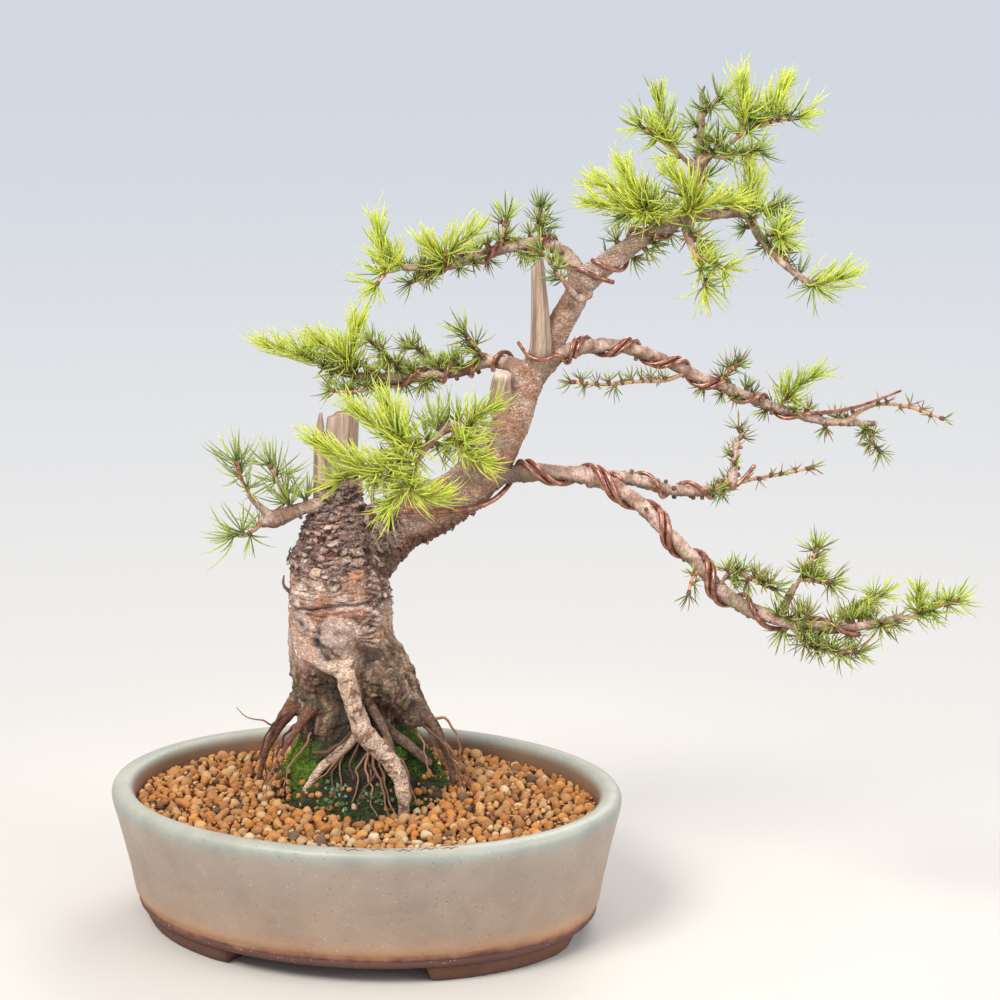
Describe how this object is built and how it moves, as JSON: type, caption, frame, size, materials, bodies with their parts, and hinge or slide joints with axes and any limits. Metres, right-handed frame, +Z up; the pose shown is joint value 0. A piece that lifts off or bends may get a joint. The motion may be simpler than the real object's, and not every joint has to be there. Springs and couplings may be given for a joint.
{
  "type": "european larch bonsai",
  "caption": "Leaning larch bonsai with exposed roots, deadwood stubs, wired branches and needle tufts, standing in a shallow oval glazed pot.",
  "frame": {"origin": "middle of the whole object's footprint, on the surface that the pot's feet stand on", "axes": "+Z up, +X towards the tips of the long branches, -Y towards the viewer of the front"},
  "size_m": [0.4984, 0.226, 0.4938],
  "materials": {
    "glazed_stoneware": "satin, grey-green celadon glaze over a brown unglazed foot band",
    "screen_plastic": "matte",
    "clay_granules": "matte, baked clay granules with a few cream and grey stones",
    "mossy_soil": "matte, dark root soil with green moss",
    "larch_wood": "rough flaky bark, with pale weathered deadwood stubs",
    "training_wire": "copper-coloured anodised, satin",
    "needles_lime": "soft fresh needles",
    "needles_green": "soft needles",
    "needles_dark": "soft needles"
  },
  "bodies": {
    "root": {"drain_screen_left": "screen_plastic", "drain_screen_right": "screen_plastic", "granular_soil": "clay_granules", "moss_mound": "mossy_soil", "pot": "glazed_stoneware", "spray_apex_inner": "needles_dark", "spray_apex_left": "needles_green", "spray_apex_right": "needles_lime", "spray_crown_back": "needles_dark", "spray_crown_left": "needles_lime", "spray_crown_right": "needles_lime", "spray_droop_inner": "needles_dark", "spray_droop_middle": "needles_lime", "spray_droop_tip": "needles_lime", "spray_fork_tip": "needles_dark", "spray_fork_up": "needles_dark", "spray_front_left": "needles_lime", "spray_front_low": "needles_lime", "spray_front_right": "needles_lime", "spray_front_top": "needles_green", "spray_front_upper": "needles_lime", "spray_knot_right": "needles_dark", "spray_knot_up": "needles_lime", "spray_leader": "needles_green", "spray_left_down": "needles_green", "spray_left_tip": "needles_green", "spray_left_up": "needles_green", "spray_low_hang": "needles_green", "spray_low_inner": "needles_dark", "spray_low_middle": "needles_green", "spray_low_tip": "needles_lime", "spray_low_under": "needles_dark", "spray_low_up": "needles_dark", "spray_lower_twig": "needles_dark", "spray_middle_low": "needles_dark", "spray_middle_pad_left": "needles_green", "spray_middle_pad_right": "needles_green", "spray_middle_plume": "needles_green", "spray_middle_tip": "needles_lime", "spray_middle_up": "needles_lime", "spray_right_drop": "needles_dark", "spray_right_fan": "needles_lime", "spray_right_tip": "needles_dark", "spray_right_upper": "needles_dark", "spray_upper_front": "needles_dark", "spray_upper_inner": "needles_green", "spray_upper_low": "needles_dark", "spray_upper_middle": "needles_lime", "spray_upper_root": "needles_dark", "spray_upper_tip": "needles_lime", "tree": "larch_wood", "wire_crown": "training_wire", "wire_fork": "training_wire", "wire_low_inner": "training_wire", "wire_low_outer": "training_wire", "wire_middle_left": "training_wire", "wire_middle_right_inner": "training_wire", "wire_middle_right_outer": "training_wire", "wire_upper_left": "training_wire"}
  },
  "joints": []
}
